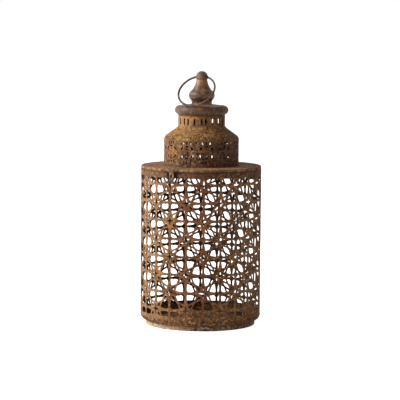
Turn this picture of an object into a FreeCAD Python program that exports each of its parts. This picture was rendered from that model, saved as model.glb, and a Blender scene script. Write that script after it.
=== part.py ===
import FreeCAD, Part
import math
import os

# Punched tin candle lantern, in millimetres, +Z up.
# The origin is the centre of the foot, on the surface that the lantern stands on.
# Each piece is made as if it lay in front (-Y) and is turned about the axis to its place.
# Such turns are positive towards +X.

V = FreeCAD.Vector
UP = V(0, 0, 1)
ACROSS = V(1, 0, 0)
FRONT = V(0, -1, 0)
HERE = V(0, 0, 0)

# Sheet metal and clearances
body_sheet = 1.0
chimney_sheet = 1.0
solder_gap = 0.05
moving_gap = 0.3
running_gap = 0.05
cut_overrun = 3.0
coincident = 1e-6

# Body: a rolled wall on a pressed pan and a foot strip
body_radius = 84.2
body_top = 219.1
foot_inset = 7.5
foot_width = 2.2
foot_height = 6.5
foot_rounding = 0.8
pan_corner_radius = 7.8
pan_inner_corner = 5.0
pan_spigot_height = 4.9
mouth_ring_height = 6.8

# Pierced star pattern of the wall
lattice_low = 19.5
lattice_high = 210.8
lattice_columns = 22
lattice_turn_deg = 2.6
lattice_drift_deg = 1.3
row_pitch = 24.72
lowest_star_height = 28.8
lattice_rows = 8
least_opening_height = 2.0
# Corners of one large opening and of one teardrop, in pitches from their grid point
opening_shares = ((0.093, 0.093), (0.3, 0.059), (0.62, 0.12), (0.525, 0.364),
                  (0.364, 0.525), (0.12, 0.62), (0.059, 0.3))
teardrop_shares = ((0.18, 0.18), (0.27, 0.155), (0.39, 0.39), (0.155, 0.27))
star_tip_share = 0.29
star_waist_share = 0.05

# Lid: a flat disc with a turned-down rim and a collar round the smoke hole
lid_rim_height = 4.0
lid_edge_rounding = 1.8
collar_height = 4.0

# Chimney: pierced drum, spun shoulder, slotted neck, cap with a rolled rim
drum_radius = 52.3
drum_height = 36.4
shoulder_rounding = 7.0
shoulder_blend = 7.0
shoulder_slope_deg = 35.4
neck_radius = 32.7
neck_height = 19.0
neck_seat_share = 0.4
neck_collar_height = 1.8
neck_slot_width = 2.1
neck_slot_height = 9.2
neck_slot_low = 2.3
# The slots are cut by hand and stand unevenly
neck_slots_deg = (-64, -47, -35, -18, 0, 10, 28, 46, 62, 79, 95, 110,
                  134, 152, 163, 189, 206, 221, 236, 252, 267, 281)
medallions = 12
medallion_turn_deg = 7.5
medallion_height = 20.7
medallion_radius = 9.3
petal_length = 4.6
petal_width = 1.7
petals_deg = (35, 145, 215, 325)
crescent_radius = 8.3
crescent_length = 5.4
crescent_width = 1.5
bead_distance = 4.5
bead_width = 1.5
tally_distance = 13.2
tally_pitch = 5.0
tally_length = 3.4
tally_width = 1.3
rim_roll_radius = 6.4
rim_roll_inset = 1.6
cap_overlap = 2.9
cap_rise = 2.0

# Finial, turned from solid, and the stud that holds it to the cap
finial_foot_radius = 14.5
finial_belly_radius = 18.1
finial_head_radius = 8.5
finial_height = 45.8
foot_waist_radius = 14.2
foot_waist_height = 2.8
belly_low_radius = 15.2
belly_low_height = 5.6
belly_height = 12.3
belly_high_radius = 13.4
belly_high_height = 19.6
flare_radius = 9.3
flare_height = 27.2
stem_top_radius = 7.4
head_edge_drop = 2.8
stud_radius = 2.5
stud_in_finial = 12.0
stud_below_nut = 2.0
washer_radius = 8.0
washer_thickness = 1.5
nut_across_flats = 8.0
nut_height = 4.0

# Carrying ring, hung in a cross hole of the finial's head
ring_radius = 26.5
ring_wire_radius = 1.5
ring_hole_radius = 2.5
ring_pivot_drop = 7.8
ring_offset = 0.7
ring_turn_deg = -25.3
ring_lean_deg = 42.0

# Lid hinge, behind
hinge_turn_deg = 151.0
hinge_width = 16.0
hinge_middle_width = 6.4
hinge_barrel_radius = 2.4
hinge_pin_radius = 1.0
leaf_thickness = 1.2
body_leaf_drop = 9.0
lid_leaf_length = 18.0
lid_leaf_width = 14.0
pin_head_radius = 1.7
pin_head_thickness = 0.8
rivet_radius = 1.0
rivet_head_radius = 1.7
rivet_head_height = 0.8
body_rivet_spread = 5.0
lid_rivet_spread = 4.0

# Clasp, in front to the left
clasp_turn_deg = -28.0
bracket_width = 14.0
bracket_thickness = 1.0
clasp_knuckle_width = 2.2
clasp_middle_width = 4.4
clasp_barrel_radius = 1.8
clasp_pin_radius = 0.8
clasp_pin_head_radius = 1.3
clasp_pin_head_thickness = 0.5
strap_width = 7.0
strap_thickness = 1.2
strap_length = 15.6
strap_slot_width = 2.8
strap_slot_length = 5.4
strap_slot_drop = 7.4
clasp_stud_radius = 1.2
clasp_stud_rise = 0.95

# Heights and radii worked out from the sizes above
foot_radius = body_radius - foot_inset
shell_inner = body_radius - body_sheet
shell_bottom = foot_height + pan_corner_radius
spigot_outer = shell_inner - solder_gap
spigot_inner = spigot_outer - body_sheet
spigot_top = shell_bottom + pan_spigot_height
floor_top = foot_height + body_sheet
mouth_ring_low = body_top - mouth_ring_height
lid_low = body_top + moving_gap
lid_top = lid_low + lid_rim_height
lid_under = lid_top - body_sheet
drum_inner = drum_radius - chimney_sheet
drum_top = lid_top + drum_height
collar_outer = drum_inner - solder_gap
collar_inner = collar_outer - chimney_sheet
slope = math.radians(shoulder_slope_deg)
two_roundings = shoulder_rounding + shoulder_blend
shoulder_run = drum_radius - shoulder_rounding - neck_radius - shoulder_blend
cone_length = (two_roundings * math.sin(slope) + shoulder_run) / math.cos(slope)
blend_top = drum_top + cone_length * math.sin(slope) + two_roundings * math.cos(slope)
neck_low = blend_top - neck_seat_share * shoulder_blend
neck_inner = neck_radius - chimney_sheet
neck_top = neck_low + neck_height
rim_radius = neck_radius - rim_roll_inset
rim_reach = rim_roll_inset + solder_gap
rim_height = neck_top - cap_overlap + math.sqrt(rim_roll_radius ** 2 - rim_reach ** 2)
cap_top = rim_height + rim_roll_radius + cap_rise
cap_under = cap_top - chimney_sheet
finial_top = cap_top + finial_height
ring_pivot_height = finial_top - ring_pivot_drop
leaf_inner = body_radius + solder_gap
hinge_axis_radius = leaf_inner + solder_gap + hinge_barrel_radius + moving_gap
hinge_axis_height = body_top + moving_gap / 2
leaf_top = lid_top + solder_gap + leaf_thickness
clasp_axis_radius = leaf_inner + bracket_thickness + moving_gap + clasp_barrel_radius
clasp_axis_height = lid_low + lid_rim_height / 2
clasp_stud_height = clasp_axis_height - strap_slot_drop


# Shared ways of making a form
def turned(shape, degrees):
    """The shape turned about the lantern's axis, from the front to its own place."""
    copy = shape.copy()
    copy.rotate(HERE, UP, degrees)
    return copy


def at(radius, height):
    """A point of a half section."""
    return V(radius, 0, height)


def arc_about(centre, radius, start_deg, end_deg):
    """An arc of a half section, by its centre and two angles up from the outward side."""
    points = []
    for angle in (start_deg, (start_deg + end_deg) / 2, end_deg):
        turn = math.radians(angle)
        points.append(centre + at(radius * math.cos(turn), radius * math.sin(turn)))
    return Part.Arc(*points).toShape()


def spun(*outline):
    """A solid of revolution from points and arcs in order round its half section."""
    edges = []
    corners = []
    for item in outline:
        if isinstance(item, V):
            corners.append((item, item))
        else:
            corners.append((item.Vertexes[0].Point, item.Vertexes[-1].Point))
    for (item, (_, end)), (start, _) in zip(zip(outline, corners), corners[1:] + corners[:1]):
        if not isinstance(item, V):
            edges.append(item)
        if (start - end).Length > coincident:
            edges.append(Part.LineSegment(end, start).toShape())
    return Part.Face(Part.Wire(edges)).revolve(HERE, UP, 360)


def tube(outer, inner, low, high):
    """A plain wall round the axis."""
    wall = Part.makeCylinder(outer, high - low, at(0, low))
    hole = Part.makeCylinder(inner, high - low + 2 * cut_overrun, at(0, low - cut_overrun))
    return wall.cut(hole)


def block(x0, x1, near, far, low, high):
    """A block in front of the axis, between two distances from it."""
    return Part.makeBox(x1 - x0, far - near, high - low, V(x0, -far, low))


def cross_bar(radius, x0, x1, distance, height):
    """A round bar along X in front of the axis, as a hinge pin lies."""
    return Part.makeCylinder(radius, x1 - x0, V(x0, -distance, height), ACROSS)


def wall_bar(radius, near, far, height):
    """A round bar through the front wall, between two distances from the axis."""
    return Part.makeCylinder(radius, far - near, V(0, -near, height), FRONT)


def wall_punch(outline, degrees, radius, depth):
    """A punch through a round wall; its outline is (arc length, height) from an angle."""
    middle = sum(along for along, _ in outline) / len(outline)
    corners = [V(along - middle, -radius - cut_overrun, height) for along, height in outline]
    face = Part.Face(Part.makePolygon(corners + [corners[0]]))
    punch = face.extrude(V(0, depth + 2 * cut_overrun, 0))
    return turned(punch, degrees + math.degrees(middle / radius))


def headed_bar(bar, head):
    return bar.fuse(head).removeSplitter()


# Foot strip, pan, wall and mouth ring
def foot_ring():
    """The rolled strip that the lantern stands on, soldered under the pan."""
    centre = at(foot_radius - foot_rounding, foot_rounding)
    return spun(arc_about(centre, foot_rounding, -90, 0), at(foot_radius, foot_height),
                at(foot_radius - foot_width, foot_height), at(foot_radius - foot_width, 0))


def base_pan():
    """The pressed pan: floor, rounded corner flush with the wall, and a spigot inside it."""
    corner = at(body_radius - pan_corner_radius, shell_bottom)
    inner = at(spigot_inner - pan_inner_corner, floor_top + pan_inner_corner)
    return spun(at(0, foot_height), arc_about(corner, pan_corner_radius, -90, 0),
                at(spigot_outer, shell_bottom), at(spigot_outer, spigot_top),
                at(spigot_inner, spigot_top), arc_about(inner, pan_inner_corner, 0, -90),
                at(0, floor_top))


def clipped(outline, low, high):
    """The part of a convex outline of (along, height) points between two heights."""
    for limit, side in ((low, 1), (high, -1)):
        kept = []
        for (s0, z0), (s1, z1) in zip(outline, outline[1:] + outline[:1]):
            if side * (z0 - limit) >= 0:
                kept.append((s0, z0))
            if (z0 - limit) * (z1 - limit) < 0:
                kept.append((s0 + (limit - z0) / (z1 - z0) * (s1 - s0), limit))
        outline = kept
    return outline


def column_turn(column):
    """Where one upright line of stars stands; the spacing drifts a little round the wall."""
    even = 2 * math.pi * column / lattice_columns
    return lattice_turn_deg + math.degrees(even) - lattice_drift_deg * (1 - math.cos(even))


def pattern_outlines(starred):
    """The holes round one grid point, as (across, upward) corners in pitches."""
    quarter = teardrop_shares if starred else opening_shares
    outlines = [[(across * a, upward * b) for a, b in quarter]
                for across, upward in ((1, 1), (-1, 1), (-1, -1), (1, -1))]
    if starred:
        tip, waist = star_tip_share, star_waist_share
        outlines.append([(tip, 0), (waist, waist), (0, tip), (-waist, waist),
                         (-tip, 0), (-waist, -waist), (0, -tip), (waist, -waist)])
    return outlines


def lattice_punches():
    """Punches for the pattern: stars and plain grid points take turns both ways."""
    column_pitch = 2 * math.pi * body_radius / lattice_columns
    punches = []
    for column in range(lattice_columns):
        for row in range(-1, lattice_rows + 1):
            height = lowest_star_height + row * row_pitch
            for corners in pattern_outlines((column + row) % 2 == 1):
                outline = [(a * column_pitch, height + b * row_pitch) for a, b in corners]
                outline = clipped(outline, lattice_low, lattice_high)
                heights = [z for _, z in outline] + [0] * (not outline)
                if max(heights) - min(heights) > least_opening_height:
                    punches.append(wall_punch(outline, column_turn(column),
                                              body_radius, body_sheet))
    return punches


def wall_drillings():
    """Holes through the upper band for the hinge rivets and the clasp stud."""
    radius = rivet_radius + solder_gap
    far = body_radius + cut_overrun
    rivet = wall_bar(radius, spigot_inner - cut_overrun, far, body_rivet_height())
    stud = wall_bar(radius, spigot_inner - cut_overrun, far, clasp_stud_height)
    return [turned(rivet, turn) for turn in body_rivet_turns()] + [turned(stud, clasp_turn_deg)]


def lattice_shell():
    """The rolled wall, pierced all round between two plain bands."""
    wall = tube(body_radius, shell_inner, shell_bottom, body_top)
    return wall.cut(lattice_punches() + wall_drillings())


def mouth_ring():
    """The flat strip inside the mouth that keeps the wall round."""
    return tube(spigot_outer, spigot_inner, mouth_ring_low, body_top).cut(wall_drillings())


# Lid, chimney drum, shoulder, neck and cap
def lid_plate():
    """The flat lid: turned-down rim outside, upturned collar round the smoke hole."""
    edge = at(body_radius - lid_edge_rounding, lid_top - lid_edge_rounding)
    plate = spun(at(body_radius, lid_low), arc_about(edge, lid_edge_rounding, 0, 90),
                 at(collar_outer, lid_top), at(collar_outer, lid_top + collar_height),
                 at(collar_inner, lid_top + collar_height), at(collar_inner, lid_under),
                 at(shell_inner, lid_under), at(shell_inner, lid_low))
    return plate.cut(lid_rivet_bars(rivet_radius + solder_gap, lid_under, leaf_top))


def slot_outline(width, length, middle, degrees):
    """A straight slot lying at an angle in the wall, as (arc length, height) corners."""
    turn = math.radians(degrees)
    corners = []
    for a, b in ((1, 1), (-1, 1), (-1, -1), (1, -1)):
        along = a * length / 2
        aside = b * width / 2
        corners.append((middle[0] + along * math.cos(turn) - aside * math.sin(turn),
                        middle[1] + along * math.sin(turn) + aside * math.cos(turn)))
    return corners


def crescent_outline(radius, length, width, degrees):
    """A slot curved round a centre: its outer side, then back along its inner side."""
    reach = math.degrees(length / radius) / 2
    corners = []
    for side, turns in ((1, (-1, 0, 1)), (-1, (1, 0, -1))):
        for turn in turns:
            angle = math.radians(degrees + turn * reach)
            distance = radius + side * width / 2
            corners.append((distance * math.cos(angle), distance * math.sin(angle)))
    return corners


def medallion_outlines():
    """One medallion: four petals, two crescents, two beads, and three tallies above and below."""
    outlines = []
    for angle in petals_deg:
        turn = math.radians(angle)
        middle = (medallion_radius * math.cos(turn), medallion_radius * math.sin(turn))
        outlines.append(slot_outline(petal_width, petal_length, middle, angle + 90))
    for side in (1, -1):
        outlines.append(crescent_outline(crescent_radius, crescent_length, crescent_width,
                                         side * 90))
        outlines.append(slot_outline(bead_width, bead_width, (0, side * bead_distance), 45))
        for place in (-1, 0, 1):
            middle = (place * tally_pitch, side * tally_distance)
            outlines.append(slot_outline(tally_width, tally_length, middle, 90))
    return outlines


def chimney_drum():
    """The drum on the lid, pierced with a row of round medallions."""
    height = lid_top + medallion_height
    punches = []
    for number in range(medallions):
        degrees = medallion_turn_deg + 360 * number / medallions
        for outline in medallion_outlines():
            raised = [(along, height + upward) for along, upward in outline]
            punches.append(wall_punch(raised, degrees, drum_radius, chimney_sheet))
    return tube(drum_radius, drum_inner, lid_top, drum_top).cut(punches)


def shoulder():
    """The spun shoulder from the drum in to the neck, with a short collar inside the neck."""
    rounding = at(drum_radius - shoulder_rounding, drum_top)
    blend = at(neck_radius + shoulder_blend, blend_top)
    cone = 90 - shoulder_slope_deg
    inner_blend = shoulder_blend + chimney_sheet
    step_low = neck_low - chimney_sheet
    outer_end = 180 + math.degrees(math.asin((blend_top - neck_low) / shoulder_blend))
    inner_end = 180 + math.degrees(math.asin((blend_top - step_low) / inner_blend))
    outside = neck_inner - solder_gap
    inside = outside - chimney_sheet
    collar_top = neck_low + neck_collar_height
    return spun(arc_about(rounding, shoulder_rounding, 0, cone),
                arc_about(blend, shoulder_blend, 180 + cone, outer_end),
                at(outside, neck_low), at(outside, collar_top),
                at(inside, collar_top), at(inside, step_low),
                arc_about(blend, inner_blend, inner_end, 180 + cone),
                arc_about(rounding, shoulder_rounding - chimney_sheet, cone, 0))


def vent_neck():
    """The neck with its row of upright smoke slots."""
    middle = (0, neck_low + neck_slot_low + neck_slot_height / 2)
    outline = slot_outline(neck_slot_width, neck_slot_height, middle, 90)
    punches = [wall_punch(outline, degrees, neck_radius, chimney_sheet)
               for degrees in neck_slots_deg]
    return tube(neck_radius, neck_inner, neck_low, neck_top).cut(punches)


def cap():
    """The cap: a hollow rolled rim over the neck and a low crown with a flat for the finial."""
    centre = at(rim_radius, rim_height)
    inner_roll = rim_roll_radius - chimney_sheet
    outer_start = -math.degrees(math.acos(rim_reach / rim_roll_radius))
    inner_start = -math.degrees(math.acos(rim_reach / inner_roll))
    hole = stud_radius + solder_gap
    return spun(arc_about(centre, rim_roll_radius, outer_start, 90),
                at(finial_foot_radius, cap_top), at(hole, cap_top),
                at(hole, cap_under), at(finial_foot_radius, cap_under),
                arc_about(centre, inner_roll, 90, inner_start))


# Finial, its fixing, and the ring
def finial():
    """The turned knob: foot, belly, flared stem, and an overhanging head with a cross hole."""
    head = at(0, finial_top - finial_head_radius)
    edge_deg = math.degrees(math.asin(head_edge_drop / finial_head_radius))
    stem_top = at(stem_top_radius, head.z - head_edge_drop)
    foot = Part.Arc(at(finial_foot_radius, cap_top),
                    at(foot_waist_radius, cap_top + foot_waist_height),
                    at(belly_low_radius, cap_top + belly_low_height)).toShape()
    belly = Part.Arc(at(belly_low_radius, cap_top + belly_low_height),
                     at(finial_belly_radius, cap_top + belly_height),
                     at(belly_high_radius, cap_top + belly_high_height)).toShape()
    stem = Part.Arc(at(belly_high_radius, cap_top + belly_high_height),
                    at(flare_radius, cap_top + flare_height), stem_top).toShape()
    knob = spun(at(0, cap_top), foot, belly, stem,
                arc_about(head, finial_head_radius, -edge_deg, 90))
    half = finial_head_radius + cut_overrun
    hole = cross_bar(ring_hole_radius, -half, half, 0, ring_pivot_height)
    bore = Part.makeCylinder(stud_radius + solder_gap, stud_in_finial + solder_gap + cut_overrun,
                             at(0, cap_top - cut_overrun))
    return knob.cut([turned(hole, ring_turn_deg), bore])


def finial_stud():
    """The threaded stud from inside the finial down through the cap, washer and nut."""
    low = cap_under - washer_thickness - nut_height - stud_below_nut
    return Part.makeCylinder(stud_radius, cap_top + stud_in_finial - low, at(0, low))


def finial_washer():
    low = cap_under - washer_thickness
    return tube(washer_radius, stud_radius + solder_gap, low, cap_under)


def finial_nut():
    """The hexagon nut under the washer."""
    high = cap_under - washer_thickness
    corner = nut_across_flats / math.sqrt(3)
    corners = [V(corner * math.cos(math.pi * side / 3), corner * math.sin(math.pi * side / 3),
                 high - nut_height) for side in range(7)]
    nut = Part.Face(Part.makePolygon(corners)).extrude(at(0, nut_height))
    return nut.cut(Part.makeCylinder(stud_radius + solder_gap, nut_height + 2 * cut_overrun,
                                     at(0, high - nut_height - cut_overrun)))


def carry_ring():
    """The wire ring, lying against the cap's rim in front."""
    lean = math.radians(ring_lean_deg)
    hang = V(0, -math.sin(lean), -math.cos(lean))
    centre = at(0, ring_pivot_height) + hang * (ring_radius - ring_offset)
    ring = Part.makeTorus(ring_radius, ring_wire_radius, centre, ACROSS.cross(hang))
    return turned(ring, ring_turn_deg)


# Lid hinge
def hinge_half():
    """Half the width of the middle knuckle with its side gaps."""
    return hinge_middle_width / 2 + moving_gap


def body_rivet_turns():
    spread = math.degrees(body_rivet_spread / body_radius)
    return (hinge_turn_deg - spread, hinge_turn_deg + spread)


def body_rivet_height():
    return hinge_axis_height - (body_leaf_drop + hinge_barrel_radius) / 2


def body_hinge_leaf():
    """The leaf on the upper band, with the two outer knuckles."""
    half = hinge_width / 2
    low = hinge_axis_height - body_leaf_drop
    outer = leaf_inner + leaf_thickness
    plate = tube(outer, leaf_inner, low, hinge_axis_height - hinge_barrel_radius)
    leaf = plate.common(block(-half, half, leaf_inner / 2, outer, low, hinge_axis_height))
    barrel_face = hinge_axis_radius - hinge_barrel_radius
    for x0, x1 in ((-half, -hinge_half()), (hinge_half(), half)):
        web = block(x0, x1, barrel_face, barrel_face + leaf_thickness / 2,
                    hinge_axis_height - 2 * hinge_barrel_radius, hinge_axis_height)
        knuckle = cross_bar(hinge_barrel_radius, x0, x1, hinge_axis_radius, hinge_axis_height)
        leaf = leaf.fuse([web, knuckle])
    bore = cross_bar(hinge_pin_radius + solder_gap, -hinge_width, hinge_width,
                     hinge_axis_radius, hinge_axis_height)
    leaf = turned(leaf.cut(bore).removeSplitter(), hinge_turn_deg)
    return leaf.cut(wall_drillings())


def lid_hinge_leaf():
    """The strap along the lid, bent down over the rim to the middle knuckle."""
    half = hinge_middle_width / 2
    face = hinge_axis_radius - hinge_barrel_radius
    outer = face + leaf_thickness
    strap = block(-lid_leaf_width / 2, lid_leaf_width / 2, outer - lid_leaf_length, outer,
                  leaf_top - leaf_thickness, leaf_top)
    tongue = block(-half, half, face, outer, hinge_axis_height, leaf_top)
    knuckle = cross_bar(hinge_barrel_radius, -half, half, hinge_axis_radius, hinge_axis_height)
    bore = cross_bar(hinge_pin_radius + running_gap, -hinge_width, hinge_width,
                     hinge_axis_radius, hinge_axis_height)
    leaf = turned(strap.fuse([tongue, knuckle]).cut(bore).removeSplitter(), hinge_turn_deg)
    return leaf.cut(lid_rivet_bars(rivet_radius + solder_gap, lid_under, leaf_top))


def hinge_pin():
    """The pin through the three knuckles, peened at both ends."""
    half = hinge_width / 2 + solder_gap
    pin = cross_bar(hinge_pin_radius, -half, half, hinge_axis_radius, hinge_axis_height)
    heads = [cross_bar(pin_head_radius, x, x + pin_head_thickness,
                       hinge_axis_radius, hinge_axis_height)
             for x in (-half - pin_head_thickness, half)]
    return turned(pin.fuse(heads).removeSplitter(), hinge_turn_deg)


def body_hinge_rivets():
    """Two rivets through the leaf, the wall and the mouth ring, flush inside."""
    outer = leaf_inner + leaf_thickness
    height = body_rivet_height()
    shank = wall_bar(rivet_radius, spigot_inner + solder_gap, outer, height)
    head = wall_bar(rivet_head_radius, outer, outer + rivet_head_height, height)
    rivet = headed_bar(shank, head)
    return Part.makeCompound([turned(rivet, turn) for turn in body_rivet_turns()])


def lid_rivet_bars(radius, low, high):
    """Upright bars in a row along the lid's hinge leaf."""
    middle = hinge_axis_radius - lid_leaf_length / 2 - hinge_barrel_radius
    return [turned(Part.makeCylinder(radius, high - low, V(0, -middle - side, low)),
                   hinge_turn_deg) for side in (-lid_rivet_spread, lid_rivet_spread)]


def lid_hinge_rivets():
    """Two rivets through the lid and its leaf."""
    shanks = lid_rivet_bars(rivet_radius, lid_under, leaf_top)
    heads = lid_rivet_bars(rivet_head_radius, leaf_top, leaf_top + rivet_head_height)
    return Part.makeCompound([headed_bar(shank, head) for shank, head in zip(shanks, heads)])


# Clasp
def clasp_bracket():
    """The plate soldered to the lid's rim, with two knuckles for the strap."""
    outer = leaf_inner + bracket_thickness
    plate = tube(outer, leaf_inner, lid_low, lid_top - lid_edge_rounding / 2)
    half = bracket_width / 2
    bracket = plate.common(block(-half, half, leaf_inner / 2, outer, lid_low, lid_top))
    inner_x = clasp_middle_width / 2 + moving_gap
    for x0, x1 in ((-inner_x - clasp_knuckle_width, -inner_x),
                   (inner_x, inner_x + clasp_knuckle_width)):
        web = block(x0, x1, outer - bracket_thickness / 2, clasp_axis_radius,
                    clasp_axis_height - bracket_thickness / 2,
                    clasp_axis_height + bracket_thickness / 2)
        knuckle = cross_bar(clasp_barrel_radius, x0, x1, clasp_axis_radius, clasp_axis_height)
        bracket = bracket.fuse([web, knuckle])
    bore = cross_bar(clasp_pin_radius + solder_gap, -half, half,
                     clasp_axis_radius, clasp_axis_height)
    return turned(bracket.cut(bore).removeSplitter(), clasp_turn_deg)


def clasp_pin():
    """The pin of the clasp, peened at both ends."""
    half = clasp_middle_width / 2 + moving_gap + clasp_knuckle_width + solder_gap
    pin = cross_bar(clasp_pin_radius, -half, half, clasp_axis_radius, clasp_axis_height)
    heads = [cross_bar(clasp_pin_head_radius, x, x + clasp_pin_head_thickness,
                       clasp_axis_radius, clasp_axis_height)
             for x in (-half - clasp_pin_head_thickness, half)]
    return turned(pin.fuse(heads).removeSplitter(), clasp_turn_deg)


def clasp_strap():
    """The hanging strap with its slot and rounded end."""
    face = clasp_axis_radius - clasp_barrel_radius
    outer = face + strap_thickness
    blade_top = clasp_axis_height - clasp_barrel_radius - moving_gap
    half = strap_width / 2
    tip = clasp_axis_height - strap_length + half
    middle = clasp_middle_width / 2
    slot_half = strap_slot_width / 2
    slot_reach = (strap_slot_length - strap_slot_width) / 2
    blade = block(-half, half, face, outer, tip, blade_top)
    tongue = block(-middle, middle, face, outer, blade_top, clasp_axis_height)
    knuckle = cross_bar(clasp_barrel_radius, -middle, middle,
                        clasp_axis_radius, clasp_axis_height)
    strap = blade.fuse([wall_bar(half, face, outer, tip), tongue, knuckle])
    slot = block(-slot_half, slot_half, face - cut_overrun, outer + cut_overrun,
                 clasp_stud_height - slot_reach, clasp_stud_height + slot_reach)
    slot_ends = [wall_bar(slot_half, face - cut_overrun, outer + cut_overrun, height)
                 for height in (clasp_stud_height - slot_reach, clasp_stud_height + slot_reach)]
    bore = cross_bar(clasp_pin_radius + running_gap, -half, half,
                     clasp_axis_radius, clasp_axis_height)
    return turned(strap.cut([slot, bore] + slot_ends).removeSplitter(), clasp_turn_deg)


def clasp_stud():
    """The low stud on the upper band that the strap's slot drops over."""
    shank = wall_bar(rivet_radius, spigot_inner + solder_gap, body_radius, clasp_stud_height)
    head = wall_bar(clasp_stud_radius, body_radius, body_radius + clasp_stud_rise,
                    clasp_stud_height)
    return turned(headed_bar(shank, head), clasp_turn_deg)


pieces = (foot_ring, base_pan, lattice_shell, mouth_ring,
          body_hinge_leaf, body_hinge_rivets, hinge_pin, clasp_stud,
          lid_plate, chimney_drum, shoulder, vent_neck, cap,
          finial, finial_stud, finial_washer, finial_nut, carry_ring,
          lid_hinge_leaf, lid_hinge_rivets, clasp_bracket, clasp_pin, clasp_strap)

os.makedirs("parts", exist_ok=True)
for piece in pieces:
    shape = piece()
    shape.exportStep("parts/" + piece.__name__ + ".step")
    print(piece.__name__, len(shape.Solids), shape.isValid(), round(shape.Volume))
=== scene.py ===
import math
import bpy
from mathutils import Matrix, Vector


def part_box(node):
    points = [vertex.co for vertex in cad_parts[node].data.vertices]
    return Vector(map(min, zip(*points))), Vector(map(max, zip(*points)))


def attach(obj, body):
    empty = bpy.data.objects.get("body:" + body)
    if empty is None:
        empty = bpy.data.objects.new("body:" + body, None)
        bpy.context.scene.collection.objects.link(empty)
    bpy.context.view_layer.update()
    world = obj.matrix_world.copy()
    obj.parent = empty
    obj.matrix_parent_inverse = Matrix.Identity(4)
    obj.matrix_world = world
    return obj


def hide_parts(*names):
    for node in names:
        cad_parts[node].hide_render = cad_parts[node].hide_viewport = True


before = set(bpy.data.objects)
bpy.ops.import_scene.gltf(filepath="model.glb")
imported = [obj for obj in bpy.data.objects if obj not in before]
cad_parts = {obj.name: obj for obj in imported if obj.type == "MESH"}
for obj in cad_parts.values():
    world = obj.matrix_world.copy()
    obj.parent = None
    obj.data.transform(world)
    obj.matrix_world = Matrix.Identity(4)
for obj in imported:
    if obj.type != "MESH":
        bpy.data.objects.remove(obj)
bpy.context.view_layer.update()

# The wall
# A long strip of thin sheet iron, cut through with a lattice of stars between two plain bands,
# rolled into a cylinder and joined behind. It is rusted all over, outside and in.
wall_low, wall_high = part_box("lattice_shell")
wall_radius = wall_high.x
wall_sheet = 0.001
lattice_low = 0.0195
lattice_high = 0.2108
lattice_columns = 22
lattice_pitch = 2 * math.pi * wall_radius / lattice_columns
lattice_turn_deg = 2.6
# The columns drift a little from front to back, as on a strip rolled unevenly
lattice_drift_deg = 1.3
lattice_rows = 8
row_pitch = 0.02472
lowest_star_height = 0.0288
least_hole_height = 0.001
# Corners of each kind of hole from its grid point, and how far each is rounded, in pitches
opening_shares = ((0.006, 0.006, 0.3), (0.625, 0.117, 0.07), (0.478, 0.478, 0.12),
                  (0.117, 0.625, 0.07))
teardrop_shares = ((0.183, 0.183, 0.04), (0.27, 0.154, 0.067), (0.41, 0.41, 0.11),
                   (0.154, 0.27, 0.067))
star_tip_share = 0.29
star_waist_share = 0.05
corner_steps = 3
# Straight cuts per pitch, along which the strip bends when it is rolled
wall_bends = 8
# Points closer than this are joined, and edges flatter than this look round
least_gap = 0.00001
smooth_below_deg = 30


def choose(*objects):
    """Selects these objects alone and makes the first one active."""
    bpy.ops.object.select_all(action="DESELECT")
    for item in objects:
        item.select_set(True)
    bpy.context.view_layer.objects.active = objects[0]


def apply_modifiers(piece):
    """Applies all of a piece's modifiers in turn."""
    choose(piece)
    for name in [modifier.name for modifier in piece.modifiers]:
        bpy.ops.object.modifier_apply(modifier=name)


def settle(piece, move=(0, 0, 0), tilt_deg=0, turn_deg=0):
    """Tilts a piece about X, turns it about Z and moves it, all within its own mesh."""
    choose(piece)
    piece.rotation_euler = (math.radians(tilt_deg), 0, math.radians(turn_deg))
    piece.location = move
    bpy.ops.object.transform_apply(location=True, rotation=True, scale=False)


def rounded(corners, steps):
    """A closed outline of (x, y, reach) corners, each softened over its reach both ways."""
    points = []
    count = len(corners)
    for number, (x, y, rounding) in enumerate(corners):
        here = Vector((x, y))
        before = Vector(corners[number - 1][:2]) - here
        after = Vector(corners[(number + 1) % count][:2]) - here
        reach = min(rounding, before.length / 2, after.length / 2)
        start = here + before.normalized() * reach
        end = here + after.normalized() * reach
        for step in range(steps + 1):
            t = step / steps
            points.append(start * (1 - t) ** 2 + here * 2 * t * (1 - t) + end * t ** 2)
    return [(p.x, p.y) for p in points]


def clipped(outline, low, high):
    """The part of an outline between two heights, closed along them."""
    for limit, side in ((low, 1), (high, -1)):
        kept = []
        for (x0, y0), (x1, y1) in zip(outline, outline[1:] + outline[:1]):
            if side * (y0 - limit) >= 0:
                kept.append((x0, y0))
            if (y0 - limit) * (y1 - limit) < 0:
                kept.append((x0 + (limit - y0) / (y1 - y0) * (x1 - x0), limit))
        outline = kept
    return outline


def cut_sheet(name, outlines):
    """A flat upright sheet at y = 0: the first outline is its edge, the others are holes."""
    curve = bpy.data.curves.new(name, "CURVE")
    curve.dimensions = "2D"
    curve.fill_mode = "BOTH"
    for outline in outlines:
        spline = curve.splines.new("POLY")
        spline.points.add(len(outline) - 1)
        spline.use_cyclic_u = True
        for point, (x, y) in zip(spline.points, outline):
            point.co = (x, y, 0, 1)
    sheet = bpy.data.objects.new(name, curve)
    bpy.context.collection.objects.link(sheet)
    choose(sheet)
    bpy.ops.object.convert(target="MESH")
    settle(sheet, tilt_deg=90)
    return sheet


def scored(sheet, pitch, bends):
    """Cuts a flat sheet along evenly spaced upright lines, so that it can bend there."""
    choose(sheet)
    bpy.ops.object.mode_set(mode="EDIT")
    for step in range(1, bends):
        bpy.ops.mesh.select_all(action="SELECT")
        bpy.ops.mesh.bisect(plane_co=(pitch * step / bends, 0, 0), plane_no=(1, 0, 0))
    bpy.ops.object.mode_set(mode="OBJECT")


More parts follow.
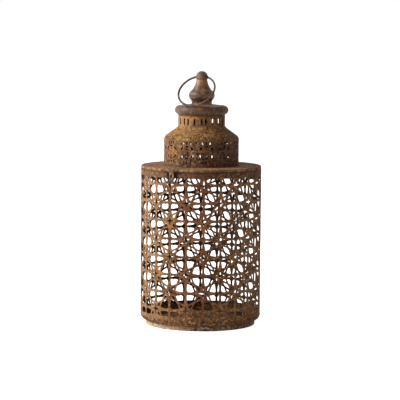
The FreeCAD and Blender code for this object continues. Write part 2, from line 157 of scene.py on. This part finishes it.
def rolled(sheet, radius, thickness, turn_deg, repeats, pitch, drift_deg=0.0):
    """Repeats a strip all round, rolls it into a tube and gives it its thickness inwards."""
    array = sheet.modifiers.new("repeat", "ARRAY")
    array.use_relative_offset = False
    array.use_constant_offset = True
    array.constant_offset_displace = (pitch, 0, 0)
    array.count = repeats
    array.use_merge_vertices = True
    array.merge_threshold = least_gap
    apply_modifiers(sheet)
    settle(sheet, move=(-repeats * pitch / 2, 0, 0))
    for vertex in sheet.data.vertices:
        vertex.co.x -= radius * math.radians(drift_deg) * (1 - math.cos(vertex.co.x / radius))
    bend = sheet.modifiers.new("roll", "SIMPLE_DEFORM")
    bend.deform_method = "BEND"
    bend.deform_axis = "Z"
    bend.angle = 2 * math.pi
    apply_modifiers(sheet)
    settle(sheet, move=(0, -radius, 0))
    settle(sheet, turn_deg=turn_deg)
    bpy.ops.object.mode_set(mode="EDIT")
    bpy.ops.mesh.select_all(action="SELECT")
    bpy.ops.mesh.remove_doubles(threshold=least_gap)
    bpy.ops.mesh.normals_make_consistent(inside=False)
    bpy.ops.object.mode_set(mode="OBJECT")
    gauge = sheet.modifiers.new("gauge", "SOLIDIFY")
    gauge.thickness = thickness
    gauge.offset = -1
    gauge.use_even_offset = False
    apply_modifiers(sheet)
    bpy.ops.object.shade_smooth_by_angle(angle=math.radians(smooth_below_deg))


def lattice_outlines():
    """One column of the lattice, from one line of stars to the next: its edge and its holes."""
    left = [(0, wall_low.z)]
    right = [(lattice_pitch, wall_low.z)]
    holes = []
    tip, waist = star_tip_share, star_waist_share
    half_star_shares = ((0, -tip), (waist, -waist), (tip, 0), (waist, waist), (0, tip))
    # The plain bands cut short the holes of one more row at either end
    for row in range(-1, lattice_rows + 1):
        height = lowest_star_height + row * row_pitch
        whole_star = (lattice_low < height - tip * row_pitch
                      and height + tip * row_pitch < lattice_high)
        for x0, inward, line, starred in ((0, 1, left, row % 2 == 1),
                                          (lattice_pitch, -1, right, row % 2 == 0)):
            shares = teardrop_shares if starred else opening_shares
            for upward in (1, -1):
                corners = [(x0 + inward * a * lattice_pitch, height + upward * b * row_pitch,
                            c * row_pitch) for a, b, c in shares]
                hole = clipped(rounded(corners, corner_steps), lattice_low, lattice_high)
                heights = [y for _, y in hole] or [0]
                if max(heights) - min(heights) > least_hole_height:
                    holes.append(hole)
            if starred and whole_star:
                line.extend((x0 + inward * a * lattice_pitch, height + b * row_pitch)
                            for a, b in half_star_shares)
    edge = left[::-1] + right + [(lattice_pitch, wall_high.z), (0, wall_high.z)]
    return [edge] + holes


def math_node(nodes, links, operation, *values):
    """A Math node on these sockets or numbers."""
    node = nodes.new("ShaderNodeMath")
    node.operation = operation
    for number, value in enumerate(values):
        if isinstance(value, (int, float)):
            node.inputs[number].default_value = value
        else:
            links.new(value, node.inputs[number])
    return node.outputs["Value"]


def stain_or_painted_light(tint, strength, *limits):
    """A tint on the rust, for a stain or for painted light and shade, where all its limits hold.
    Each limit names a way, where the tint starts along it and where it is full. The ways are
    height, radius, side (to the right of the middle), depth (to the back) and flakes (the pattern
    of the rust's own pale flakes)."""
    return tint, strength, limits


def rust(name, deep, body, light, bloom, bloom_share, gloss=0.0, grit=1.0, stains_and_painted_light=()):
    """Rusted iron: patches from deep to light, ochre blooms, pale flakes, dark specks and a rough
    skin, with the stains and the painted light and shade over them in turn. Gloss is how worn it
    is, grit how rough and flecked."""
    material = bpy.data.materials.new(name)
    material.use_nodes = True
    nodes = material.node_tree.nodes
    links = material.node_tree.links
    shader = nodes["Principled BSDF"]
    place = nodes.new("ShaderNodeTexCoord").outputs["Object"]

    def noise(size, detail, roughness, offset):
        """A pattern of blotches of about this size."""
        mapping = nodes.new("ShaderNodeMapping")
        mapping.inputs["Location"].default_value = offset
        links.new(place, mapping.inputs["Vector"])
        texture = nodes.new("ShaderNodeTexNoise")
        texture.inputs["Scale"].default_value = 1 / size
        texture.inputs["Detail"].default_value = detail
        texture.inputs["Roughness"].default_value = roughness
        links.new(mapping.outputs["Vector"], texture.inputs["Vector"])
        return texture.outputs["Fac"]

    def spread(value, start, full, least=0.0, most=1.0):
        """A soft step from least to most, as the value goes from start to full."""
        node = nodes.new("ShaderNodeMapRange")
        node.interpolation_type = "SMOOTHSTEP"
        for socket, number in (("From Min", start), ("From Max", full),
                               ("To Min", least), ("To Max", most)):
            node.inputs[socket].default_value = number
        links.new(value, node.inputs["Value"])
        return node.outputs["Result"]

    def mixed_colour(factor, first, second):
        """The first colour, with as much of the second over it as the factor says."""
        node = nodes.new("ShaderNodeMix")
        node.data_type = "RGBA"
        # Inputs 6 and 7 and output 2 are the Mix node's colours
        links.new(factor, node.inputs[0])
        for number, value in ((6, first), (7, second)):
            if isinstance(value, tuple):
                node.inputs[number].default_value = value + (1,)
            else:
                links.new(value, node.inputs[number])
        return node.outputs[2]

    patches = noise(size=0.042, detail=4, roughness=0.6, offset=(0.3, 0.1, 0.7))
    blooms = noise(size=0.019, detail=6, roughness=0.68, offset=(1.7, 0.4, 0.2))
    grain = noise(size=0.0052, detail=5, roughness=0.62, offset=(0.0, 2.2, 0.9))
    specks = noise(size=0.0030, detail=6, roughness=0.74, offset=(3.1, 0.0, 1.3))
    flakes = noise(size=0.0036, detail=6, roughness=0.74, offset=(5.3, 1.9, 0.4))
    skin = noise(size=0.0012, detail=2, roughness=0.5, offset=(0.7, 0.6, 2.9))
    flake = tuple(1.25 * c for c in light)
    speck = tuple(0.4 * c for c in deep)
    bloom_start = 0.66 - 0.22 * bloom_share
    bloom_full = bloom_start + 0.12

    colour = mixed_colour(spread(patches, start=0.36, full=0.64, least=0.1), deep, body)
    for pattern, start, full, most, tint in ((grain, 0.46, 0.68, 0.85, light),
                                             (blooms, bloom_start, bloom_full, 0.85, bloom),
                                             (flakes, 0.51, 0.61, 0.65 * grit, flake),
                                             (specks, 0.51, 0.6, 0.8 * grit, speck)):
        colour = mixed_colour(spread(pattern, start, full, most=most), colour, tint)
    if stains_and_painted_light:
        axes = nodes.new("ShaderNodeSeparateXYZ")
        links.new(place, axes.inputs["Vector"])
        flat = nodes.new("ShaderNodeVectorMath")
        flat.operation = "MULTIPLY"
        flat.inputs[1].default_value = (1, 1, 0)
        links.new(place, flat.inputs[0])
        length = nodes.new("ShaderNodeVectorMath")
        length.operation = "LENGTH"
        links.new(flat.outputs["Vector"], length.inputs[0])
        ways = {"height": axes.outputs["Z"], "radius": length.outputs["Value"],
                "side": axes.outputs["X"], "depth": axes.outputs["Y"], "flakes": flakes}
    for tint, strength, limits in stains_and_painted_light:
        mask = spread(grain, start=0.3, full=0.62, least=0.35 * strength, most=strength)
        for way, start, full in limits:
            mask = math_node(nodes, links, "MULTIPLY", mask, spread(ways[way], start, full))
        colour = mixed_colour(mask, colour, tint)
    links.new(colour, shader.inputs["Base Color"])

    roughness = spread(blooms, start=0.3, full=0.7, least=0.66 - gloss, most=0.92 - 0.8 * gloss)
    links.new(roughness, shader.inputs["Roughness"])
    shader.inputs["Specular IOR Level"].default_value = 0.1 + 0.7 * gloss
    normal = None
    for height, depth, strength in ((skin, 0.0002, 0.5), (specks, 0.0005, 0.55),
                                    (grain, 0.0012, 0.5)):
        bump = nodes.new("ShaderNodeBump")
        bump.inputs["Distance"].default_value = depth
        bump.inputs["Strength"].default_value = strength * grit
        links.new(height, bump.inputs["Height"])
        if normal:
            links.new(normal, bump.inputs["Normal"])
        normal = bump.outputs["Normal"]
    links.new(normal, shader.inputs["Normal"])
    return material


def wear(material, *pieces):
    """Gives pieces this material alone. A piece of the CAD model may be given by its name."""
    for piece in pieces:
        if isinstance(piece, str):
            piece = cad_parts[piece]
        piece.data.materials.clear()
        piece.data.materials.append(material)


wall = cut_sheet("pierced_wall", lattice_outlines())
scored(wall, lattice_pitch, wall_bends)
mirror = wall.modifiers.new("mirror", "MIRROR")
mirror.use_axis = (True, False, False)
mirror.merge_threshold = least_gap
apply_modifiers(wall)
settle(wall, move=(lattice_pitch, 0, 0))
rolled(wall, wall_radius, wall_sheet, turn_deg=lattice_turn_deg, repeats=lattice_columns // 2,
       pitch=2 * lattice_pitch, drift_deg=lattice_drift_deg)
# Low down and to the right the rust is rougher
low_rust = (("height", 0.045, 0.016), ("side", -0.065, -0.030))
# Painted shadows on the wall and the lid's rim beside the clasp
painted_clasp_shadow = (("side", -0.0495, -0.0455), ("side", -0.0280, -0.0335), ("depth", -0.02, -0.04))
wall_rust = rust(
    "wall_rust", deep=(0.060, 0.027, 0.016), body=(0.215, 0.104, 0.050),
    light=(0.440, 0.250, 0.125), bloom=(0.440, 0.195, 0.055), bloom_share=0.6, grit=0.95,
    stains_and_painted_light=(
        # Redder left of the middle, golden low down, and paler towards both sides: painted light
        stain_or_painted_light((0.180, 0.068, 0.040), 0.5, ("side", -0.050, -0.024), ("side", 0.030, 0.004)),
        stain_or_painted_light((0.365, 0.222, 0.122), 0.5, ("side", -0.040, -0.068)),
        stain_or_painted_light((0.300, 0.182, 0.105), 0.4, ("side", 0.026, 0.056)),
        stain_or_painted_light((0.300, 0.150, 0.062), 0.4, ("height", 0.040, 0.012)),
        stain_or_painted_light((0.150, 0.072, 0.038), 0.5, *low_rust),
        stain_or_painted_light((0.640, 0.300, 0.070), 0.9, *low_rust, ("flakes", 0.545, 0.580)),
        stain_or_painted_light((0.050, 0.022, 0.013), 0.8, *low_rust, ("flakes", 0.48, 0.43)),
        # The upper band is dark and mottled, with painted shadow beside the clasp and under the
        # lid's rim
        stain_or_painted_light((0.130, 0.062, 0.036), 0.5, ("height", 0.2085, 0.2120)),
        stain_or_painted_light((0.036, 0.019, 0.013), 0.75, ("height", 0.2075, 0.2105), ("flakes", 0.50, 0.45)),
        stain_or_painted_light((0.016, 0.009, 0.007), 1.1, *painted_clasp_shadow, ("height", 0.2030, 0.2075)),
        stain_or_painted_light((0.040, 0.022, 0.016), 0.7, ("height", 0.2165, 0.2190)),
        # Painted shade inside
        stain_or_painted_light((0.048, 0.028, 0.019), 0.8, ("radius", wall_radius - 0.0002, wall_radius - 0.0006))))
wear(wall_rust, wall)
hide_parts("lattice_shell")
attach(wall, "body")

# The pan, the foot and the mouth ring
# The pan is pressed from one sheet and slips into the wall; a rolled strip under it is the foot.
# A flat strip inside the mouth keeps the wall round. Solder runs round the joint of pan and foot.
_, foot_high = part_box("foot_ring")
pan_low, pan_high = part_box("base_pan")
solder_radius = 0.0008


def bead(name, radius, height, thickness, body):
    """A run of solder all round, at this height."""
    bpy.ops.object.select_all(action="DESELECT")
    bpy.ops.mesh.primitive_torus_add(major_radius=radius, minor_radius=thickness,
                                     major_segments=96, minor_segments=10, location=(0, 0, 0))
    ring = bpy.context.object
    ring.name = name
    settle(ring, move=(0, 0, height))
    bpy.ops.object.shade_smooth()
    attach(ring, body)
    return ring


pan_rust = rust(
    "pan_rust", deep=(0.038, 0.018, 0.011), body=(0.150, 0.072, 0.035),
    light=(0.430, 0.245, 0.120), bloom=(0.540, 0.230, 0.045), bloom_share=0.55, grit=1.35,
    stains_and_painted_light=(
        # Darker to the right: painted shade
        stain_or_painted_light((0.085, 0.044, 0.032), 0.45, ("side", -0.010, 0.050)),
        # Painted shade on the inner wall, and darker in a ring round the edge of the floor
        stain_or_painted_light((0.016, 0.010, 0.008), 0.9, ("radius", pan_high.x - 0.0003, pan_high.x - 0.0007),
              ("height", pan_low.z + 0.0100, pan_low.z + 0.0125)),
        stain_or_painted_light((0.018, 0.011, 0.009), 0.95, ("radius", pan_high.x - 0.035, pan_high.x - 0.018),
              ("radius", pan_high.x - 0.005, pan_high.x - 0.007))))
foot_rust = rust(
    "foot_rust", deep=(0.070, 0.038, 0.029), body=(0.290, 0.170, 0.115),
    light=(0.660, 0.455, 0.330), bloom=(0.520, 0.270, 0.110), bloom_share=0.45, grit=1.3,
    stains_and_painted_light=(
        # Paler to the left: painted light
        stain_or_painted_light((0.680, 0.490, 0.360), 0.75, ("side", -0.020, -0.060)),
        # Darker at the top, under the pan's rim: painted shade
        stain_or_painted_light((0.030, 0.018, 0.014), 0.8, ("height", foot_high.z - 0.0012, foot_high.z - 0.0002))))
wear(pan_rust, "base_pan", "mouth_ring")
foot_solder = bead("foot_solder", foot_high.x - solder_radius / 2, foot_high.z - solder_radius / 2,
                   solder_radius, "body")
wear(foot_rust, "foot_ring", foot_solder)

# The lid
# A flat disc of sheet with its rim turned down over the wall. A thin strip soldered under it drops
# into the mouth. Hands have worn the disc's edge, which also carries a painted highlight, and it is
# darker round the chimney.
lid_low, lid_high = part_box("lid_plate")
drum_low, drum_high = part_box("chimney_drum")
lid_top = drum_low.z
drum_radius = drum_high.x
lid_sheet = 0.001
worn_and_highlit_edge = 0.0016
lid_strip_radius = 0.0817
lid_strip_length = 2 * math.pi * lid_strip_radius
lid_strip_depth = 0.0052
lid_strip_sheet = 0.0006
lid_strip_bends = 96


def strip_edge(length, low, high):
    """The outline of a plain strip before it is rolled."""
    return [(0, low), (length, low), (length, high), (0, high)]


lid_under = lid_top - lid_sheet / 2
lid_strip = cut_sheet("lid_strip", [strip_edge(lid_strip_length, lid_under - lid_strip_depth,
                                               lid_under)])
scored(lid_strip, lid_strip_length, lid_strip_bends)
rolled(lid_strip, lid_strip_radius, lid_strip_sheet, turn_deg=0, repeats=1,
       pitch=lid_strip_length)
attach(lid_strip, "lid")
worn_and_highlit_radius = lid_high.x - worn_and_highlit_edge
lid_rust = rust(
    "lid_rust", deep=(0.105, 0.052, 0.028), body=(0.315, 0.166, 0.082),
    light=(0.530, 0.315, 0.180), bloom=(0.460, 0.216, 0.070), bloom_share=0.5, grit=0.8,
    stains_and_painted_light=(
        # Painted shade below, within the strip, and darker above, round the drum's foot
        stain_or_painted_light((0.045, 0.027, 0.018), 0.9,
              ("radius", lid_strip_radius + 0.0015, lid_strip_radius + 0.0010),
              ("height", lid_top - 0.0002, lid_top - 0.0007)),
        stain_or_painted_light((0.050, 0.028, 0.020), 0.6, ("radius", drum_radius + 0.004, drum_radius + 0.0005),
              ("height", lid_top - 0.0007, lid_top - 0.0002)),
        # Painted shade at the rim's lower edge and beside the clasp, and the worn upper edge with a
        # painted highlight
        stain_or_painted_light((0.022, 0.014, 0.011), 0.9, ("height", lid_low.z + 0.0012, lid_low.z - 0.0004)),
        stain_or_painted_light((0.018, 0.010, 0.008), 0.9, *painted_clasp_shadow,
              ("height", lid_top - 0.0010, lid_top - 0.0022)),
        stain_or_painted_light((0.480, 0.280, 0.160), 0.3, ("radius", worn_and_highlit_radius - 0.001, worn_and_highlit_radius + 0.0006),
              ("height", lid_top - worn_and_highlit_edge, lid_top - 0.0006))))
wear(lid_rust, "lid_plate")
wear(pan_rust, lid_strip)

# The clasp
# A bracket soldered to the lid's rim, a pin, and a strap of strip iron whose slot drops over a
# rivet head on the wall. Years of handling have worn it paler than the painted shadow beside it.
clasp_rust = rust("clasp_rust", deep=(0.045, 0.024, 0.016), body=(0.190, 0.104, 0.064),
                  light=(0.460, 0.285, 0.175), bloom=(0.420, 0.200, 0.065), bloom_share=0.35,
                  gloss=0.12)
wear(clasp_rust, "clasp_bracket", "clasp_pin", "clasp_strap", "clasp_stud")

# The hinge
# Two leaves of strip iron with rolled knuckles, one riveted to the wall and one to the lid,
# on a pin with peened ends.
hinge_rust = rust("hinge_rust", deep=(0.025, 0.015, 0.011), body=(0.095, 0.057, 0.040),
                  light=(0.250, 0.155, 0.105), bloom=(0.280, 0.130, 0.045), bloom_share=0.35,
                  gloss=0.12)
wear(hinge_rust, "body_hinge_leaf", "lid_hinge_leaf", "hinge_pin", "body_hinge_rivets",
     "lid_hinge_rivets")

# The drum
# The chimney's lowest part: a strip pierced with twelve round medallions, rolled, and soldered to
# the lid. Each has four petals, two crescents and two beads, with three tallies over and under.
chimney_sheet = 0.0005
drum_bends = 10
medallions = 12
medallion_turn_deg = 7.5
medallion_height = 0.0207
medallion_pitch = 2 * math.pi * drum_radius / medallions
medallion_radius = 0.0093
petal_length = 0.0048
petal_width = 0.0025
petals_deg = (35, 145, 215, 325)
crescent_radius = 0.0083
crescent_length = 0.0058
crescent_width = 0.0024
crescent_taper = 0.5
bead_distance = 0.0045
bead_width = 0.0020
tally_distance = 0.0132
tally_pitch = 0.005
tally_length = 0.0040
tally_width = 0.0020
prick_distance = 0.0125
prick_spread = 0.0011
prick_width = 0.0012
slot_end_steps = 2


def slot_outline(length, width, middle, degrees):
    """A straight slot with round ends, lying at an angle."""
    turn = math.radians(degrees)
    corners = []
    for a, b in ((1, 1), (-1, 1), (-1, -1), (1, -1)):
        along = a * length / 2
        aside = b * width / 2
        corners.append((middle[0] + along * math.cos(turn) - aside * math.sin(turn),
                        middle[1] + along * math.sin(turn) + aside * math.cos(turn), width / 2))
    return rounded(corners, slot_end_steps)


def crescent_outline(middle, degrees):
    """A slot that follows a circle and narrows to both ends: along its outer side, then back
    along the shorter inner one."""
    half = crescent_length / crescent_radius / 2
    corners = []
    for side, turns in ((1, (-1, -0.5, 0, 0.5, 1)), (-1, (0.6, 0, -0.6))):
        for turn in turns:
            angle = math.radians(degrees) + turn * half
            distance = (crescent_radius
                        + side * crescent_width / 2 * (1 - crescent_taper * abs(turn)))
            corners.append((middle[0] + distance * math.cos(angle),
                            middle[1] + distance * math.sin(angle)))
    return corners


def medallion_outlines():
    """One stretch of the drum, with a medallion in its middle and small pricks at its sides."""
    x0, y0 = medallion_pitch / 2, lid_top + medallion_height
    outlines = [strip_edge(medallion_pitch, drum_low.z, drum_high.z)]
    for degrees in petals_deg:
        turn = math.radians(degrees)
        place = (x0 + medallion_radius * math.cos(turn), y0 + medallion_radius * math.sin(turn))
        outlines.append(slot_outline(petal_length, petal_width, place, degrees + 90))
    for side in (1, -1):
        outlines.append(crescent_outline((x0, y0), side * 90))
        middle = (x0, y0 + side * bead_distance)
        outlines.append(slot_outline(bead_width, bead_width, middle, degrees=0))
        for place in (-1, 0, 1):
            middle = (x0 + place * tally_pitch, y0 + side * tally_distance)
            outlines.append(slot_outline(tally_length, tally_width, middle, degrees=90))
        for x in (prick_spread, medallion_pitch - prick_spread):
            middle = (x, y0 + side * prick_distance)
            outlines.append(slot_outline(prick_width, prick_width, middle, degrees=0))
    return outlines


drum = cut_sheet("pierced_drum", medallion_outlines())
scored(drum, medallion_pitch, drum_bends)
rolled(drum, drum_radius, chimney_sheet, turn_deg=medallion_turn_deg - 180 / medallions,
       repeats=medallions, pitch=medallion_pitch)
drum_rust = rust(
    "drum_rust", deep=(0.050, 0.024, 0.016), body=(0.170, 0.084, 0.043),
    light=(0.400, 0.228, 0.122), bloom=(0.400, 0.185, 0.058), bloom_share=0.6, grit=1.25,
    stains_and_painted_light=(
        # Darker to the right and paler to the left, painted shade and light; darker at the foot;
        # ochre under the joint
        stain_or_painted_light((0.090, 0.046, 0.036), 0.6, ("side", -0.006, 0.022)),
        stain_or_painted_light((0.280, 0.150, 0.073), 0.35, ("side", -0.018, -0.040)),
        stain_or_painted_light((0.060, 0.032, 0.020), 0.6, ("height", lid_top + 0.006, lid_top)),
        stain_or_painted_light((0.300, 0.160, 0.075), 0.5, ("height", drum_high.z - 0.0025, drum_high.z)),
        # Painted shade inside
        stain_or_painted_light((0.012, 0.008, 0.006), 1.0, ("radius", drum_radius - 0.0001, drum_radius - 0.0004))))
drum_solder = bead("drum_solder", drum_radius, lid_top + solder_radius / 3, solder_radius, "lid")
drum_joint = bead("drum_joint", drum_radius - solder_radius / 2, drum_high.z, solder_radius, "lid")
wear(drum_rust, drum, drum_solder, drum_joint)
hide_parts("chimney_drum")
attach(drum, "lid")

# The shoulder
# Spun from a disc, it draws the chimney in from the drum to the neck. Rain has stood on its slope,
# so it carries the brightest ochre.
shoulder_rust = rust(
    "shoulder_rust", deep=(0.078, 0.039, 0.019), body=(0.260, 0.135, 0.050),
    light=(0.470, 0.275, 0.118), bloom=(0.450, 0.220, 0.056), bloom_share=0.85, grit=1.3,
    # Darker to the right: painted shade
    stains_and_painted_light=(stain_or_painted_light((0.120, 0.062, 0.034), 0.5, ("side", 0.000, 0.035)),))
wear(shoulder_rust, "shoulder")

# The neck
# A short rolled strip of the same thin sheet as the drum, with upright smoke slots cut by hand
# through it, a little unevenly.
neck_low, neck_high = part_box("vent_neck")
neck_radius = neck_high.x
neck_length = 2 * math.pi * neck_radius
neck_bends = 72
neck_slot_width = 0.0026
neck_slot_height = 0.0092
neck_slot_low = 0.0023
# As in the photograph in front, guessed behind
neck_slots_deg = (-64, -47, -35, -18, 0, 10, 28, 46, 62, 79, 95, 110,
                  134, 152, 163, 189, 206, 221, 236, 252, 267, 281)
slot_middle = neck_low.z + neck_slot_low + neck_slot_height / 2
neck_outlines = [strip_edge(neck_length, neck_low.z, neck_high.z)]
for degrees in neck_slots_deg:
    middle = ((degrees + 180) % 360 / 360 * neck_length, slot_middle)
    neck_outlines.append(slot_outline(neck_slot_height, neck_slot_width, middle, degrees=90))
neck = cut_sheet("slotted_neck", neck_outlines)
scored(neck, neck_length, neck_bends)
rolled(neck, neck_radius, chimney_sheet, turn_deg=0, repeats=1, pitch=neck_length)
neck_rust = rust(
    "neck_rust", deep=(0.056, 0.027, 0.016), body=(0.195, 0.095, 0.042),
    light=(0.380, 0.210, 0.105), bloom=(0.430, 0.200, 0.058), bloom_share=0.8, grit=0.8,
    stains_and_painted_light=(
        # Golden to the left, a painted highlight; painted shade under the cap and inside
        stain_or_painted_light((0.490, 0.275, 0.128), 0.6, ("side", -0.008, -0.026)),
        stain_or_painted_light((0.045, 0.026, 0.020), 0.75, ("height", neck_high.z - 0.0062, neck_high.z - 0.0035)),
        stain_or_painted_light((0.012, 0.008, 0.006), 1.0, ("radius", neck_radius - 0.0001, neck_radius - 0.0004))))
wear(neck_rust, neck)
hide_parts("vent_neck")
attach(neck, "lid")

# The cap
# A spun disc whose rolled rim hangs over the neck. Smoke and hands have given the rim a dull
# shine, and the crown is ochre.
_, cap_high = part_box("cap")
cap_rust = rust(
    "cap_rust", deep=(0.026, 0.013, 0.008), body=(0.086, 0.042, 0.025),
    light=(0.225, 0.132, 0.082), bloom=(0.270, 0.115, 0.036), bloom_share=0.4, gloss=0.24, grit=0.5,
    stains_and_painted_light=(
        # Paler to the left: a painted highlight
        stain_or_painted_light((0.220, 0.138, 0.092), 0.5, ("side", -0.012, -0.030)),
        stain_or_painted_light((0.300, 0.155, 0.062), 0.8, ("radius", cap_high.x - 0.005, cap_high.x - 0.009))))
wear(cap_rust, "cap")

# The finial
# Turned from iron and held by a stud, washer and nut through the cap. It is smoother than the
# sheet, brown and grey, with ochre in the groove under its head.
_, finial_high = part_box("finial")
collar_drop = 0.0118
collar_height = finial_high.z - collar_drop
finial_rust = rust(
    "finial_rust", deep=(0.022, 0.011, 0.007), body=(0.100, 0.048, 0.026),
    light=(0.290, 0.165, 0.095), bloom=(0.330, 0.140, 0.038), bloom_share=0.5, gloss=0.38, grit=0.6,
    stains_and_painted_light=(
        stain_or_painted_light((0.400, 0.200, 0.070), 0.7, ("height", collar_height - 0.012, collar_height - 0.004),
              ("height", collar_height + 0.0008, collar_height)),))
wear(finial_rust, "finial", "finial_stud", "finial_washer", "finial_nut")

# The ring
# One loop of round wire, closed through the hole in the finial's head. Carrying has worn it smooth,
# so it is the greyest piece.
ring_rust = rust("ring_rust", deep=(0.045, 0.025, 0.019), body=(0.150, 0.092, 0.070),
                 light=(0.310, 0.205, 0.155), bloom=(0.230, 0.120, 0.055), bloom_share=0.2,
                 gloss=0.18, grit=0.5)
wear(ring_rust, "carry_ring")

# The studio
# A white floor that fades into a white room, a large soft lamp at the upper left, a weak one in
# front, and a dim warm room.
white = (1, 1, 1, 1)
floor_size = 14
floor_back = 3.0
floor_colour = (0.9, 0.9, 0.9, 1)
floor_roughness = 0.9
# Near the lantern the floor is a little less than white, so that the shadow shows
near_glow = 0.9
shade_inner = 0.25
shade_outer = 1.1
room_colour = (1.0, 0.90, 0.83, 1)
room_strength = 0.205
lantern_middle = (0, 0, 0.18)


def seen_directly(nodes, links):
    """One for the camera and for what mirrors or passes its view, else zero."""
    path = nodes.new("ShaderNodeLightPath")
    seen = math_node(nodes, links, "MAXIMUM", path.outputs["Is Camera Ray"],
                     path.outputs["Is Glossy Ray"])
    return math_node(nodes, links, "MAXIMUM", seen, path.outputs["Is Transmission Ray"])


bpy.ops.object.select_all(action="DESELECT")
bpy.ops.mesh.primitive_plane_add(size=floor_size, location=(0, floor_back, 0))
floor = bpy.context.object
floor.name = "floor"
settle(floor, move=(0, floor_back, 0))
floor_paint = bpy.data.materials.new("studio_floor")
floor_paint.use_nodes = True
nodes = floor_paint.node_tree.nodes
links = floor_paint.node_tree.links
shader = nodes["Principled BSDF"]
shader.inputs["Base Color"].default_value = floor_colour
shader.inputs["Roughness"].default_value = floor_roughness
shader.inputs["Emission Color"].default_value = white
distance = nodes.new("ShaderNodeVectorMath")
distance.operation = "LENGTH"
links.new(nodes.new("ShaderNodeTexCoord").outputs["Object"], distance.inputs[0])
fade = nodes.new("ShaderNodeMapRange")
for socket, number in (("From Min", shade_inner), ("From Max", shade_outer),
                       ("To Min", near_glow), ("To Max", 1.0)):
    fade.inputs[socket].default_value = number
links.new(distance.outputs["Value"], fade.inputs["Value"])
glow = math_node(nodes, links, "MULTIPLY", seen_directly(nodes, links), fade.outputs["Result"])
links.new(glow, shader.inputs["Emission Strength"])
wear(floor_paint, floor)

world = bpy.data.worlds.new("studio")
bpy.context.scene.world = world
world.use_nodes = True
nodes = world.node_tree.nodes
links = world.node_tree.links
nodes.clear()
output = nodes.new("ShaderNodeOutputWorld")
mix = nodes.new("ShaderNodeMixShader")
room = nodes.new("ShaderNodeBackground")
room.inputs["Color"].default_value = room_colour
room.inputs["Strength"].default_value = room_strength
backdrop = nodes.new("ShaderNodeBackground")
backdrop.inputs["Color"].default_value = white
links.new(seen_directly(nodes, links), mix.inputs["Fac"])
links.new(room.outputs["Background"], mix.inputs[1])
links.new(backdrop.outputs["Background"], mix.inputs[2])
links.new(mix.outputs["Shader"], output.inputs["Surface"])


def lamp(name, place, size, power, colour):
    """A round soft lamp that faces the lantern."""
    light = bpy.data.lights.new(name, "AREA")
    light.shape = "DISK"
    light.size = size
    light.energy = power
    light.color = colour
    item = bpy.data.objects.new(name, light)
    item.location = place
    facing = Vector(lantern_middle) - Vector(place)
    item.rotation_euler = facing.to_track_quat("-Z", "Y").to_euler()
    bpy.context.collection.objects.link(item)


lamp("key", place=(-2.38, -0.26, 1.42), size=1.0, power=92, colour=(1.0, 0.98, 0.94))
lamp("fill", place=(-0.4, -2.5, 0.8), size=1.4, power=3, colour=(1.0, 0.98, 0.95))

# The camera
# It stands where the photograph was taken from: far off in front, looking down a little. Its
# place was read from the photograph, in pixels as large as they are at the lantern's axis.
wall_radius_pixels = 60.15
pixel = wall_radius / wall_radius_pixels
# The lantern stands a pixel to the right of the picture's middle
camera_x = -pixel
distance_in_radii = 33
eye_height_pixels = 317.8
aim_height_pixels = 122.5
foot_rise = 0.0025
roll_deg = 0.45
focal_pixels = 1990
picture_width = 400
film_width = 36
camera_data = bpy.data.cameras.new("camera")
camera_data.sensor_width = film_width
camera_data.lens = focal_pixels / picture_width * film_width
camera = bpy.data.objects.new("camera", camera_data)
bpy.context.collection.objects.link(camera)
camera.location = (camera_x, -distance_in_radii * wall_radius,
                   eye_height_pixels * pixel + foot_rise)
looking = Vector((camera_x, 0, aim_height_pixels * pixel + foot_rise)) - camera.location
camera.rotation_euler = looking.to_track_quat("-Z", "Y").to_euler()
camera.rotation_euler.rotate_axis("Z", math.radians(roll_deg))
bpy.context.scene.camera = camera
bpy.context.scene.view_settings.view_transform = "Standard"
